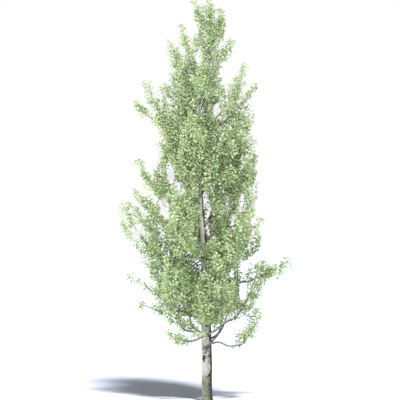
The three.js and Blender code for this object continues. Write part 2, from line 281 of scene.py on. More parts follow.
class CrownSettings(PropertyGroup):
    """How the boughs branch, and the twigs' looks."""

    seed: IntProperty(name="Seed", description="Start of every random draw", default=7, min=0)
    spacing: FloatProperty(
        name="Shoot spacing", description="Mean distance between leafy shoots",
        subtype="DISTANCE", unit="LENGTH", default=0.24, min=0.1, max=1)
    spur_gap: FloatProperty(
        name="Spur gap", description="Distance between the short spurs along a limb or branch",
        subtype="DISTANCE", unit="LENGTH", default=0.15, min=0.05, max=1)
    twig: FloatVectorProperty(
        name="Twig bark", description="Colour of the twigs",
        subtype="COLOR", default=(0.40, 0.41, 0.36), min=0, max=1)


class LeafSettings(PropertyGroup):
    """Size, spacing and colour of the leaves."""

    length: FloatProperty(
        name="Leaf length", description="Blade length of a mean leaf",
        subtype="DISTANCE", unit="LENGTH", default=0.096, min=0.02, max=0.2)
    spacing: FloatProperty(
        name="Leaf spacing", description="Distance between leaves along a shoot",
        subtype="DISTANCE", unit="LENGTH", default=0.030, min=0.01, max=0.2)
    green: FloatVectorProperty(
        name="Leaf green", description="Base colour that the sprays' tints vary",
        subtype="COLOR", default=(0.515, 0.622, 0.356), min=0, max=1)
    roughness: FloatProperty(
        name="Leaf roughness", description="Roughness of the blade",
        subtype="FACTOR", default=0.6, min=0, max=1)


class StageSettings(PropertyGroup):
    """Floor, light and camera."""

    aim: FloatVectorProperty(
        name="Aim", description="Point at the middle of the view",
        subtype="XYZ", unit="LENGTH", default=(-0.245, 0, 7.045))
    span: FloatProperty(
        name="Span", description="Width and height of the view at the tree",
        subtype="DISTANCE", unit="LENGTH", default=13.95, min=1, max=100)
    elevation: FloatProperty(
        name="Elevation", description="Height of the view above level, as an angle",
        subtype="ANGLE", default=0, min=0, max=1.5)
    distance: FloatProperty(
        name="Distance", description="From the camera to the middle of the view",
        subtype="DISTANCE", unit="LENGTH", default=100, min=10, max=500)
    dome_near: FloatProperty(
        name="Dome, lit side", description="Strength of the surrounding light on the lit side",
        default=2.35, min=0)
    dome_far: FloatProperty(
        name="Dome, dark side", description="Strength of the surrounding light on the dark side",
        default=1.15, min=0)
    key: FloatProperty(name="Key", description="Strength of the tree's sun", default=0.4, min=0)
    ground_sun: FloatProperty(
        name="Ground sun", description="Strength of the floor's own sun", default=57, min=0)


# ---- Numbers and curves ----
def unit(vectors):
    """Each vector over its own length."""
    return vectors / np.maximum(np.linalg.norm(vectors, axis=-1, keepdims=True), 1e-9)


def blend_step(share):
    """3s^2 - 2s^3: a smooth climb from 0 to 1 between s = 0 and s = 1."""
    share = np.clip(share, 0, 1)
    return share * share * (3 - 2 * share)


def through(at, known, values):
    """Cubic Hermite pieces through values at known, whose slopes are the mean slopes of their neighbours."""
    slopes = np.gradient(values, known, axis=0)
    left = np.clip(np.searchsorted(known, at) - 1, 0, len(known) - 2)
    wide = known[left + 1] - known[left]
    share = (at - known[left]) / wide
    if values.ndim > 1:
        wide = wide[:, None]
        share = share[:, None]
    rise = blend_step(share)
    start_pull = share * (1 - share) ** 2 * wide
    end_pull = share**2 * (share - 1) * wide
    return (
        (1 - rise) * values[left] + rise * values[left + 1]
        + start_pull * slopes[left] + end_pull * slopes[left + 1]
    )


def blend_over(values, low_high):
    """blend_step's climb from 0 at the first of two values to 1 at the second."""
    low, high = low_high
    return blend_step((values - low) / (high - low))


def lattice_noise(across, along, columns, seed):
    """Smooth noise from -1 to 1: random heights on a lattice, eased between by blend_step. It closes on
    itself after columns cells across."""
    low = np.floor(along).astype(int)
    heights = np.random.default_rng(seed).uniform(-1, 1, (low.max() - low.min() + 2, columns))
    low_share = blend_step(along - low)
    low = low - low.min()
    side = np.floor(across).astype(int)
    side_share = blend_step(across - side)
    near, far = side % columns, (side + 1) % columns
    bottom = heights[low, near] * (1 - side_share) + heights[low, far] * side_share
    top = heights[low + 1, near] * (1 - side_share) + heights[low + 1, far] * side_share
    return bottom * (1 - low_share) + top * low_share


def tangents(paths):
    """Unit directions along paths of shape (..., station, xyz)."""
    return unit(np.gradient(paths, axis=-2))


def side_frames(paths):
    """Two unit vectors square to each path at each station, turned from one reference per path so that
    they don't twist."""
    forward = tangents(paths)
    chord = unit(paths[..., -1, :] - paths[..., 0, :])
    flattest = np.eye(3)[np.argmin(np.abs(chord), axis=-1)]
    reference = unit(np.cross(chord, flattest))[..., None, :]
    first = unit(reference - (reference * forward).sum(-1, keepdims=True) * forward)
    return forward, first, np.cross(forward, first)


def quadratic(start, bend, end, stations):
    """Quadratic curves (1-s)^2 start + 2s(1-s) bend + s^2 end at evenly spaced s."""
    s = np.linspace(0, 1, stations)[:, None]
    start, bend, end = start[..., None, :], bend[..., None, :], end[..., None, :]
    return (1 - s) ** 2 * start + 2 * s * (1 - s) * bend + s**2 * end


# ---- Meshes ----
def new_piece(name, places, corners, sizes, material_slots, slot_of_face=None, smooth=True):
    """A mesh object at the origin. corners holds every polygon's vertex numbers in a row, and sizes the
    number of corners that each polygon takes from it."""
    mesh = bpy.data.meshes.new(name)
    mesh.vertices.add(len(places))
    mesh.vertices.foreach_set("co", np.ascontiguousarray(places, np.float32).ravel())
    mesh.loops.add(len(corners))
    mesh.loops.foreach_set("vertex_index", corners.astype(np.int32))
    mesh.polygons.add(len(sizes))
    starts = np.concatenate([[0], np.cumsum(sizes)[:-1]])
    mesh.polygons.foreach_set("loop_start", starts.astype(np.int32))
    mesh.update(calc_edges=True)
    mesh.polygons.foreach_set("use_smooth", np.full(len(sizes), smooth))
    for material in material_slots:
        mesh.materials.append(material)
    if slot_of_face is not None:
        mesh.polygons.foreach_set("material_index", slot_of_face.astype(np.int32))
    if mesh.validate():
        raise RuntimeError(f"the mesh of {name} had faults")
    piece = bpy.data.objects.new(name, mesh)
    bpy.context.scene.collection.objects.link(piece)
    return piece


def tube_faces(count, stations, sides):
    """Corners and sizes of the faces of count closed tubes. Each tube's vertices are its stations' rings
    in order, then the middle of its foot, then the point of its tip."""
    row = np.arange(stations - 1)[:, None] * sides
    here, after = np.arange(sides), (np.arange(sides) + 1) % sides
    walls = np.stack([row + here, row + after, row + sides + after, row + sides + here], -1).reshape(-1, 4)
    foot = np.stack([np.full(sides, stations * sides), after, here], -1)
    last = (stations - 1) * sides
    tip = np.stack([np.full(sides, stations * sides + 1), last + here, last + after], -1)
    one = np.concatenate([walls.ravel(), foot.ravel(), tip.ravel()])
    starts = np.arange(count)[:, None] * (stations * sides + 2)
    sizes = np.concatenate([np.full(len(walls), 4), np.full(2 * sides, 3)])
    return (starts + one).ravel(), np.tile(sizes, count)


def tube_places(paths, radii, sides, relief=0.0):
    """Vertices of tubes round paths (tube, station, xyz): path + (radius + relief)(first cos a + second
    sin a) over angles a, then the first station itself and a point a quarter step past the last."""
    _, first, second = side_frames(paths)
    angle = np.linspace(0, 2 * np.pi, sides, endpoint=False)
    outward = first[..., None, :] * np.cos(angle)[:, None] + second[..., None, :] * np.sin(angle)[:, None]
    rings = paths[..., None, :] + (radii[..., None, None] + relief) * outward
    count = len(paths)
    ends = np.stack([paths[:, 0], paths[:, -1] + (paths[:, -1] - paths[:, -2]) / 4], 1)
    return np.concatenate([rings.reshape(count, -1, 3), ends], 1).reshape(-1, 3)


def joined(parts):
    """The vertices, corners and sizes of several parts as one mesh. parts holds each one's own three."""
    places, corners, sizes = zip(*parts)
    starts = np.cumsum([0, *map(len, places)])
    corners = [own + start for own, start in zip(corners, starts)]
    return np.concatenate(places), np.concatenate(corners), np.concatenate(sizes)


# ---- Reading the frame ----
@functools.cache
def node_corners(name):
    """The corners of a node's triangles, as an array (triangle, corner, xyz)."""
    mesh = frame["nodes"][name].data
    mesh.calc_loop_triangles()
    places = np.empty(len(mesh.vertices) * 3, np.float32)
    mesh.vertices.foreach_get("co", places)
    corners = np.empty(len(mesh.loop_triangles) * 3, np.int32)
    mesh.loop_triangles.foreach_get("vertices", corners)
    return places.reshape(-1, 3)[corners].reshape(-1, 3, 3).astype(float)


@functools.cache
def node_points(name):
    """Each corner point of a node, once."""
    return np.unique(node_corners(name).reshape(-1, 3).round(5), axis=0)


def node_volume(name):
    """A sixth of the sum of a . (b x c) over the triangles."""
    a, b, c = np.moveaxis(node_corners(name), 1, 0)
    return float((a * np.cross(b, c)).sum() / 6)


def inside(points, name):
    """True for points inside a node: a line straight up from them crosses its surface an odd number of
    times."""
    a, b, c = np.moveaxis(node_corners(name), 1, 0)
    along_b, along_c = b - a, c - a
    area = along_b[:, 0] * along_c[:, 1] - along_b[:, 1] * along_c[:, 0]
    area = np.where(np.abs(area) < 1e-12, np.nan, area)
    away = points[:, None, :2] - a[None, :, :2]
    u = (away[..., 0] * along_c[:, 1] - away[..., 1] * along_c[:, 0]) / area
    v = (along_b[:, 0] * away[..., 1] - along_b[:, 1] * away[..., 0]) / area
    height = a[:, 2] + u * along_b[:, 2] + v * along_c[:, 2]
    crossed = (u >= 0) & (v >= 0) & (u + v <= 1) & (height > points[:, None, 2])
    return crossed.sum(1) % 2 == 1


@functools.cache
def trunk_rings():
    """Heights, centres and radius waves of the trunk's level rings of corner points. A ring's radius at
    angle a is w0 + w1 cos(5a) + w2 sin(5a), fitted by least squares."""
    points = node_points("trunk")
    points = points[np.argsort(points[:, 2])]
    rings = np.split(points, np.flatnonzero(np.diff(points[:, 2]) > RING_GAP) + 1)
    heights, centres, waves = [], [], []
    for ring in rings:
        centre = ring.mean(0)
        arm = ring[:, :2] - centre[:2]
        length = np.hypot(*arm.T)
        rim = length > 0.5 * length.max()
        angle = FLARE_LOBES * np.arctan2(arm[rim, 1], arm[rim, 0])
        terms = np.stack([np.ones(rim.sum()), np.cos(angle), np.sin(angle)], 1)
        heights.append(centre[2])
        centres.append(centre)
        waves.append(np.linalg.lstsq(terms, length[rim], rcond=None)[0])
    return np.array(heights), np.array(centres), np.array(waves)


def trunk_at(height):
    """The trunk's centres and mean radii at an array of heights."""
    heights, centres, waves = trunk_rings()
    height = np.clip(height, heights[0], heights[-1])
    return through(height, heights, centres), through(height, heights, waves[:, 0])


def centre_line(points, degree, first, stations):
    """The centre line of a long solid from the end nearest first, and its radius there.

    Each coordinate is a polynomial of the share s of the way along the solid's longest direction. After
    each fit, a point's s becomes that of the place on the curve nearest to it."""
    middle = points.mean(0)
    longest = np.linalg.svd(points - middle, full_matrices=False)[2][0]
    share = (points - middle) @ longest
    if share[np.argmin(np.linalg.norm(points - first, axis=1))] > 0:
        share = -share
    share = (share - share.min()) / np.ptp(share)
    fine = np.linspace(0, 1, 161)
    for _ in range(4):
        line = polynomial.polyval(fine, polynomial.polyfit(share, points, degree)).T
        gap = np.linalg.norm(points[:, None] - line, axis=2)
        share = fine[gap.argmin(1)]
    radius = polynomial.polyval(fine, polynomial.polyfit(share, gap.min(1), 1))
    pick = np.linspace(0, len(fine) - 1, stations).round().astype(int)
    return line[pick], radius[pick]


@functools.cache
def bough_line(name):
    """A bough's centre line from the trunk, or from the bough it grows on, out to its mass."""
    points = node_points(name)
    centre, _ = trunk_at(points[:, 2])
    first = points[np.argmin(np.hypot(*(points - centre)[:, :2].T))]
    return centre_line(points, 5, first, LIMB_STATIONS)


# ---- Growth ----
def feeders(mass):
    """The tip, direction and radius of every bough that runs into a mass."""
    found = []
    for bough in BOUGHS:
        line, radius = bough_line(bough)
        forward = unit(line[-1] - line[-4])
        probe = line[-1] + forward * FEEDER_PROBES[:, None]
        if inside(probe, mass).any():
            found.append((line[-1], forward, radius[-1]))
    return found


def trunk_feeder(low_end, length):
    """Where a mass's own limb leaves the trunk: below its low end, by a share of its distance out."""
    centre, _ = trunk_at(low_end[2:])
    out = low_end[:2] - centre[0, :2]
    distance = np.hypot(*out)
    start, radius = trunk_at(np.array([low_end[2] - LIMB_DROP - LIMB_SLANT * distance]))
    outward = np.append(out / max(distance, 1e-6), 0) if distance > 0.02 else np.zeros(3)
    forward = unit(0.8 * outward + 0.75 * UP)
    return start[0], forward, min(LIMB_FOOT + LIMB_STOUTER * length, LIMB_TO_TRUNK * radius[0])


def limb_path(start, forward, middle_line, tip, follow):
    """A limb from its feeder to the mass's tip: a cubic curve that leaves along forward, eased over to
    the mass's own centre line as far as follow says."""
    s = np.linspace(0, 1, LIMB_STATIONS)[:, None]
    span = np.linalg.norm(tip - start)
    arrive = unit(middle_line[-1] - middle_line[-8])
    cubic = (
        (2 * s**3 - 3 * s**2 + 1) * start + (s**3 - 2 * s**2 + s) * span * forward
        + (3 * s**2 - 2 * s**3) * tip + (s**3 - s**2) * span * arrive
    )
    ease = follow * blend_step(s / 0.6) * (1 - blend_step((s - 0.8) / 0.2))
    return cubic * (1 - ease) + middle_line * ease


def spread_out(points, count):
    """Farthest-point choice: starting from the highest point, each next one is the farthest from those
    already chosen."""
    chosen = [int(np.argmax(points[:, 2]))]
    gap = np.linalg.norm(points - points[chosen[0]], axis=1)
    while len(chosen) < min(count, len(points)):
        chosen.append(int(np.argmax(gap)))
        gap = np.minimum(gap, np.linalg.norm(points - points[chosen[-1]], axis=1))
    return points[chosen]


def best_seats(targets, seats, climb, shortest):
    """For each target, the seat that a branch reaches it from at the least cost: its length times
    1 + climb (1 - rise), where rise is the vertical part of its direction. A branch under the shortest
    length costs TOO_SHORT more. Gives the seat's number, the branch's length and its rise."""
    away = targets[:, None] - seats[None]
    length = np.linalg.norm(away, axis=2)
    rise = away[..., 2] / np.maximum(length, 1e-6)
    cost = length * (1 + climb * (1 - rise)) + TOO_SHORT * (length < shortest)
    pick = cost.argmin(1)
    row = np.arange(len(targets))
    return pick, length[row, pick], rise[row, pick]


def branch_paths(starts, ends, stations, rng, wander):
    """Branches that first spread out, then turn up: the middle of each is pushed outwards and down, and
    a little at random, by wander times its reach."""
    reach = np.linalg.norm(ends - starts, axis=1, keepdims=True)
    level = unit((ends - starts) * [1, 1, 0])
    bend = (starts + ends) / 2 + reach * (SPREAD * level - SAG * UP)
    bend += reach * wander * rng.normal(size=starts.shape)
    return quadratic(starts, bend, ends, stations)


def scattered(low, high, spacing, rng):
    """One point for each cell of a cubic grid from low to high, anywhere in its cell."""
    axes = [np.arange(a, b, spacing) for a, b in zip(low, high)]
    cells = np.stack(np.meshgrid(*axes, indexing="ij"), -1).reshape(-1, 3)
    return cells + rng.uniform(0, spacing, cells.shape)


def scattered_inside(mass, spacing, line, girth, rng):
    """Scattered points inside a mass. A wide mass is swollen about its centre line first, so that it
    closes up with its neighbours."""
    points = node_points(mass)
    swell = SWELL if girth > SWELL_GIRTH else 1.0
    room = (swell - 1) * girth
    cells = scattered(points.min(0) - room, points.max(0) + room * np.array([1, 1, 0]), spacing, rng)
    core = line[np.linalg.norm(cells[:, None] - line[None, ::4], axis=2).argmin(1) * 4]
    return cells[inside(core + (cells - core) / swell, mass)]


def in_ellipses(points, ellipses):
    """True for points in an upright ellipse as seen from the front, given as (x, z, width, height)."""
    x, z, width, height = ellipses.T
    across = (points[:, :1] - x) / (width / 2)
    along = (points[:, 2:] - z) / (height / 2)
    return (across**2 + along**2 < 1).any(1)


def in_opening(points):
    """True for points in one of SKY_GAPS, or in one of FRONT_WINDOWS and no farther back than the trunk."""
    front = points[:, 1] < WINDOW_BACK
    return in_ellipses(points, SKY_GAPS) | (in_ellipses(points, FRONT_WINDOWS) & front)


def thinned(targets, rng):
    """Targets left after the gaps: none in an opening, fewer close to the trunk below the crown's top,
    and fewer where slow waves through the crown leave it open."""
    targets = targets[~in_opening(targets)]
    centre, _ = trunk_at(targets[:, 2])
    away = np.hypot(*(targets - centre)[:, :2].T)
    x, y, z = targets.T
    light = 1 - CORE_THINNING * (1 - blend_over(away, CORE_BLEND)) * (1 - blend_over(z, CORE_TOP))
    wave = np.sin(5.1 * x + 2.3 * z) + np.sin(4.3 * y - 3.1 * z + 1.7)
    wave = wave + np.sin(6.7 * z + 3.9 * x - 2.2 * y)
    swing = OPENNESS + LOW_OPENNESS * (1 - blend_over(z, LOW_BLEND))
    return targets[rng.random(len(targets)) < light * np.clip(1.05 + swing * (wave - 0.3), 0.25, 1)]


def seats_along(paths, first_share, spacing, rng):
    """Seats for side growth along paths: one every spacing metres past first_share of the way. Gives the
    path's number, the place, the path's direction there, the way out from it, turned by the golden angle
    from seat to seat, and the share of the way."""
    length = np.linalg.norm(np.diff(paths, axis=1), axis=2).sum(1)
    count = np.maximum(2, (length * (1 - first_share) / spacing).round().astype(int))
    shoot = np.repeat(np.arange(len(paths)), count)
    number = np.arange(count.sum()) - np.repeat(np.cumsum(count) - count, count)
    share = first_share + (1 - first_share) * (number + rng.uniform(0.3, 1.0, len(shoot))) / count[shoot]
    forward, first, second = side_frames(paths)
    at = share * (paths.shape[1] - 1)
    low = np.minimum(at.astype(int), paths.shape[1] - 2)
    part = (at - low)[:, None]
    place = paths[shoot, low] * (1 - part) + paths[shoot, low + 1] * part
    turn = (number * GOLDEN_ANGLE + shoot * 1.3 + rng.normal(0, 0.35, len(shoot)))[:, None]
    outward = first[shoot, low] * np.cos(turn) + second[shoot, low] * np.sin(turn)
    return shoot, place, forward[shoot, low], outward, share


def spurs_on(paths, radii, first_share, gap, rng, reach=1.0, climb=0.35):
    """Short leafy spurs along limbs or branches, one every gap metres past first_share of the way: each
    leaves its parent aslant, turned by the golden angle from the last, and is shorter near the parent's
    tip. reach multiplies their length, and climb turns them up."""
    parent, place, forward, outward, share = seats_along(paths, first_share, gap, rng)
    length = reach * (SPUR_SHORTEST + SPUR_LONGER * (1 - share)) * rng.uniform(0.6, 1.3, len(parent))
    aim = unit(forward + 0.9 * outward + climb * UP)
    paths = branch_paths(place, place + aim * length[:, None], SPUR_STATIONS, rng, SHOOT_WANDER)
    taper = np.linspace(1, 0, SPUR_STATIONS)
    return paths, np.minimum(SPUR_FOOT, 0.9 * radii[parent, -2])[:, None] * taper + SPUR_TIP


def shoots_to(targets, seats, seat_radii, rng):
    """Shoots that end at targets, each from its best seat."""
    pick, length, rise = best_seats(targets, seats, CLIMB, SHOOT_SHORTEST)
    keep = (rise > 0) & (length < SHOOT_LONGEST)
    paths = branch_paths(seats[pick[keep]], targets[keep], SHOOT_STATIONS, rng, SHOOT_WANDER)
    taper = np.linspace(1, 0, SHOOT_STATIONS)
    foot = np.minimum(0.003 + 0.004 * length[keep], 0.9 * seat_radii[pick[keep]])
    return paths, foot[:, None] * taper + SHOOT_TIP


@functools.cache
def grown(mass, seed, spacing, spur_gap):
    """The limbs, branches, shoots and spurs of one mass, each as (paths, radii), grown by a seeded rule.

    A limb runs from each bough that enters the mass, or from the trunk, to its tip. Branches reach for
    points spread over its surface from the best seat on a limb. Shoots reach for points scattered through
    it from the best seat on a branch or limb. Spurs sit all along the limbs and branches."""
    rng = np.random.default_rng([seed, MASSES.index(mass)])
    points = node_points(mass)
    feeding = feeders(mass)
    root = feeding[0][0] if feeding else points[np.argmin(points[:, 2])]
    line, girth = centre_line(points, 2, root, LIMB_STATIONS)
    tip = points[np.argmax(np.linalg.norm(points - root, axis=1))]
    tip = tip + unit(line[-1] - tip) * TIP_MARGIN
    if not feeding:
        feeding = [trunk_feeder(line[0], np.linalg.norm(tip - line[0]))]
    limbs, limb_radii = [], []
    taper = (1 - np.linspace(0, 1, LIMB_STATIONS)) ** LIMB_TAPER
    for number, (start, forward, radius) in enumerate(feeding):
        goal = tip if number == 0 else 0.5 * (line[-12] + points[rng.integers(len(points))])
        limbs.append(limb_path(start, forward, line, goal, MAIN_FOLLOW if number == 0 else SIDE_FOLLOW))
        limb_radii.append(radius * taper + LIMB_TIP)
    limbs, limb_radii = np.array(limbs), np.array(limb_radii)

    seats = limbs[:, LIMB_SEATS].reshape(-1, 3)
    seat_radii = limb_radii[:, LIMB_SEATS].ravel()
    goals = spread_out(points, int(round(FEWEST_BRANCHES + BRANCHES_FOR_VOLUME * node_volume(mass)**0.67)))
    nearest = seats[np.linalg.norm(goals[:, None] - seats, axis=2).argmin(1)]
    inward = nearest - goals
    goals = goals + unit(inward) * np.minimum(TIP_MARGIN, 0.4 * np.linalg.norm(inward, axis=1))[:, None]
    pick, length, rise = best_seats(goals, seats, CLIMB, BRANCH_SHORTEST)
    keep = (rise > BRANCH_RISE) & (length > BRANCH_SHORTEST)
    branches = branch_paths(seats[pick[keep]], goals[keep], BRANCH_STATIONS, rng, BRANCH_WANDER)
    share = np.linspace(0, 1, BRANCH_STATIONS)
    foot = np.minimum(0.005 + 0.0085 * length[keep], 0.8 * seat_radii[pick[keep]])
    branch_radii = foot[:, None] * (1 - share) ** 0.9 + BRANCH_TIP

    targets = thinned(scattered_inside(mass, spacing, line, girth.mean(), rng), rng)
    seats = np.concatenate([seats, branches[:, 2:].reshape(-1, 3)])
    seat_radii = np.concatenate([seat_radii, branch_radii[:, 2:].ravel()])
    shoots, shoot_radii = shoots_to(targets, seats, seat_radii, rng)
    on_limbs = spurs_on(limbs, limb_radii, 0.10, spur_gap * LIMB_SPUR_GAP, rng)
    on_branches = spurs_on(branches, branch_radii, 0.3, spur_gap, rng)
    spurs = np.concatenate([on_limbs[0], on_branches[0]])
    spur_radii = np.concatenate([on_limbs[1], on_branches[1]])
    return (limbs, limb_radii), (branches, branch_radii), (shoots, shoot_radii), (spurs, spur_radii)


@functools.cache
def valley_shoots(seed, spacing, spur_gap):
    """Shoots that close the valleys between masses. Their ends are scattered over the points near the
    trunk that lie in no mass but within VALLEY_REACH of two or more, and each starts at its best seat on
    any branch. Near means inside a core that narrows towards the top and the lowest boughs."""
    rng = np.random.default_rng([seed, 92])
    everywhere = np.concatenate([node_points(mass) for mass in MASSES])
    cells = scattered(everywhere.min(0), everywhere.max(0), spacing, rng)
    near = np.zeros(len(cells), int)
    for mass in MASSES:
        points = node_points(mass)
        low, high = points.min(0) - VALLEY_REACH, points.max(0) + VALLEY_REACH
        close = ((cells > low) & (cells < high)).all(1)
        gap = np.linalg.norm(cells[close][:, None] - points, axis=2).min(1)
        near[close] += np.where(inside(cells[close], mass), -len(MASSES), gap < VALLEY_REACH)
    centre, radius = trunk_at(cells[:, 2])
    away = np.hypot(*(cells - centre)[:, :2].T)
    above = 0.25 + 0.22 * (12.8 - cells[:, 2])
    below = 0.3 + 0.5 * (cells[:, 2] - 2.4)
    core = np.minimum(above, below).clip(0, VALLEY_WIDEST)
    targets = thinned(cells[(near >= 2) & (away > radius + VALLEY_CLEAR) & (away < core)], rng)
    seats, seat_radii = [], []
    for mass in MASSES:
        _, (branches, radii), _, _ = grown(mass, seed, spacing, spur_gap)
        seats.append(branches[:, 1:-1].reshape(-1, 3))
        seat_radii.append(radii[:, 1:-1].ravel())
    seats, seat_radii = np.concatenate(seats), np.concatenate(seat_radii)
    batches = np.array_split(targets, VALLEY_BATCHES)
    batches = [shoots_to(batch, seats, seat_radii, rng) for batch in batches]
    return tuple(np.concatenate(part) for part in zip(*batches))


@functools.cache
def bough_spurs(seed, spur_gap):
    """Leafy spurs along the outer stretch of every bare bough, a longer stretch on the leafy ones."""
    rng = np.random.default_rng([seed, 90])
    kinds = []
    for bough in BOUGHS:
        line, radius = bough_line(bough)
        if bough in LEAFY_BOUGHS:
            kinds.append(spurs_on(line[None], radius[None], 0.2, spur_gap * BOUGH_SPUR_GAP, rng, 2.3, 1.2))
        else:
            kinds.append(spurs_on(line[None], radius[None], 0.62, spur_gap * BOUGH_SPUR_GAP, rng))
    return tuple(np.concatenate(part) for part in zip(*kinds))


@functools.cache
def stray_limbs(seed, spacing, spur_gap):
    """The limbs of STRAYS and their leafy spurs, each as (paths, radii). A stray starts at the place on
    any bough or limb that is nearest to its foot, and bends through its middle to its tip."""
    rng = np.random.default_rng([seed, 93])
    seats = [bough_line(bough)[0] for bough in BOUGHS]
    for mass in MASSES:
        limbs, _ = grown(mass, seed, spacing, spur_gap)[0]
        seats.append(limbs[:, LIMB_SEATS].reshape(-1, 3))
    seats = np.concatenate(seats)
    feet, middles, tips = STRAYS.transpose(1, 0, 2)
    starts = seats[np.linalg.norm(feet[:, None] - seats, axis=2).argmin(1)]
    lines = quadratic(starts, 2 * middles - 0.5 * (starts + tips), tips, LIMB_STATIONS)
    radii = np.linspace(STRAY_FOOT, LIMB_TIP, LIMB_STATIONS) * np.ones((len(lines), 1))
    return (lines, radii), spurs_on(lines, radii, 0.2, spur_gap * STRAY_SPUR_GAP, rng, 1.5, 0.8)


@functools.cache
def trunk_shoots(seed):
    """Leafy shoots off the trunk itself from its lowest bough up, set round it by the golden angle. They
    leave it at some 35 degrees off upright, and grow shorter towards the top. None of them stands in
    front of the trunk's open windows."""
    rng = np.random.default_rng([seed, 91])
    low, high, gap = TRUNK_SHOOTS
    height = np.arange(low, high, gap)
    height = height + rng.uniform(0, gap, len(height))
    turn = np.arange(len(height)) * GOLDEN_ANGLE + rng.normal(0, 0.25, len(height))
    outward = np.stack([np.cos(turn), np.sin(turn), 0 * turn], 1)
    low, high = np.array(TRUNK_WINDOWS).T[..., None]
    seen = (outward[:, 1] < -0.2) & ((height > low) & (height < high)).any(0)
    height, outward = height[~seen], outward[~seen]
    centre, radius = trunk_at(height)
    start = centre + 0.5 * radius[:, None] * outward
    length = rng.uniform(0.45, 1.15, len(height)) * (1 - 0.5 * blend_over(height, (9, 13)))
    end = start + unit(outward + rng.uniform(1.1, 1.9, (len(height), 1)) * UP) * length[:, None]
    paths = branch_paths(start, end, BRANCH_STATIONS, rng, SHOOT_WANDER)
    taper = np.linspace(1, 0, BRANCH_STATIONS)
    return paths, (0.003 + 0.005 * length)[:, None] * taper + SHOOT_TIP


# ---- Bark ----
def trunk_surface(bark):
    """The trunk as a grid of angle by height: centre + radius wave + relief, with the strength of the
    dark marks there and the share of grey in the bark: its mottling, and painted shade on the trunk's
    unlit side.

    The relief is slow swellings, furrows that die away upwards, pores as short level bumps, and diamond
    scars whose rims stand up and whose middles are sunk."""
    heights, _, waves = trunk_rings()
    rows = int(heights[-1] / TRUNK_STEP)
    height = np.linspace(heights[0], heights[-1], rows)
    centre, _ = trunk_at(height)
    wave = through(height, heights, waves)
    angle = np.linspace(0, 2 * np.pi, TRUNK_SIDES, endpoint=False)
    turn = np.broadcast_to(angle / (2 * np.pi), (rows, TRUNK_SIDES))
    tall = np.broadcast_to(height[:, None], (rows, TRUNK_SIDES))
    radius = (
        wave[:, :1] + wave[:, 1:2] * np.cos(FLARE_LOBES * angle) + wave[:, 2:] * np.sin(FLARE_LOBES * angle)
    )
    girth = np.minimum(radius / radius[0].mean(), 1)
    rough = np.exp(-tall / 0.75)
    wander = 0.6 * lattice_noise(turn * 5, tall * 3, 5, 3)
    furrow = np.abs(lattice_noise(turn * 22 + wander, tall * 5, 22, 11))
    plate = lattice_noise(turn * 44, tall * 16, 44, 12)
    swelling = lattice_noise(turn * 4, tall * 1.6, 4, 13)
    pore = np.clip(lattice_noise(turn * 46, tall * 34, 46, 14) - 0.45, 0, 1) * 1.8
    mark = pore * (1 - 0.6 * rough)
    relief = -bark.relief * rough * (1 - furrow * 2.2) * 0.5 + 0.22 * bark.relief * (rough + 0.15) * plate
    relief = relief + 0.006 * swelling * girth + 0.0012 * pore
    rng = np.random.default_rng(21)
    drawn = [rng.uniform(low, high, SCAR_COUNT) for low, high in (SCAR_REACH, (0, 360), SCAR_SIZES)]
    for at, bearing, size in (*SCARS, *zip(*drawn)):
        aside = np.abs(((turn - bearing / 360 + 0.5) % 1 - 0.5) * 2 * np.pi * radius) / size
        above = np.abs(tall - at) / size
        diamond = np.clip(1 - aside / SCAR_HALF[0] - above / SCAR_HALF[1], 0, 1)
        collar = np.clip(1 - aside / COLLAR_HALF[0] - above / COLLAR_HALF[1], 0, 1)
        relief = relief + girth * size * (COLLAR_RISE * collar - SCAR_DEPTH * diamond)
        mark = np.maximum(mark, blend_step(diamond * 3.2))
    blotch = lattice_noise(turn * 7 + 0.5 * swelling, tall * 4.2, 7, 15)
    fleck = lattice_noise(turn * 26, tall * 17, 26, 16)
    shade = 0.5 + 0.42 * blotch + 0.38 * fleck + through(height, SHADE_HEIGHTS, SHADE_SHIFTS)[:, None]
    # painted shade: the trunk's side away from the light is made greyer
    shade = shade + PAINTED_SHADE_SIDE * np.clip(np.cos(angle - math.radians(PAINTED_SHADE_BEARING)), 0, 1) ** PAINTED_SHADE_NARROW
    places = np.empty((rows, TRUNK_SIDES, 3))
    places[..., 0] = centre[:, :1] + (radius + relief) * np.cos(angle)
    places[..., 1] = centre[:, 1:2] + (radius + relief) * np.sin(angle)
    places[..., 2] = tall
    return places, np.clip(mark, 0, 1), np.clip(shade, 0, 1)


def add_shares(piece, name, shares):
    """Stores a share from 0 to 1 on the piece's points, for its bark to read."""
    attribute = piece.data.attributes.new(name, "FLOAT", "POINT")
    attribute.data.foreach_set("value", shares.astype(np.float32))


